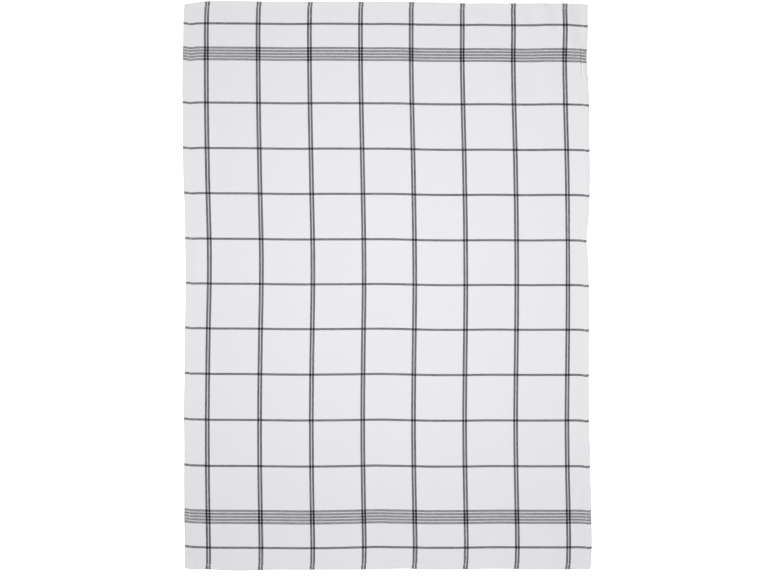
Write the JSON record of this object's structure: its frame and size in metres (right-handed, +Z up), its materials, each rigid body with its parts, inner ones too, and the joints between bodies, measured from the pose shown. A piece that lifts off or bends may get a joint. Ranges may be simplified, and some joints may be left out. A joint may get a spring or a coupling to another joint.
{
  "type": "tea towel",
  "caption": "Flat cotton tea towel with narrow double hems and a woven window-pane check of thin dark lines on white, laid out and slightly uneven.",
  "frame": {"origin": "on the surface that the towel rests on, under the middle of its outline", "axes": "+X across the towel, +Y along it towards the picture's upper end, +Z up from the surface"},
  "size_m": [0.5054, 0.7028, 0.0045],
  "materials": {
    "cotton": "matt plain-woven cotton, cool white with woven black lines"
  },
  "bodies": {
    "root": {"towel": "cotton"}
  },
  "joints": []
}
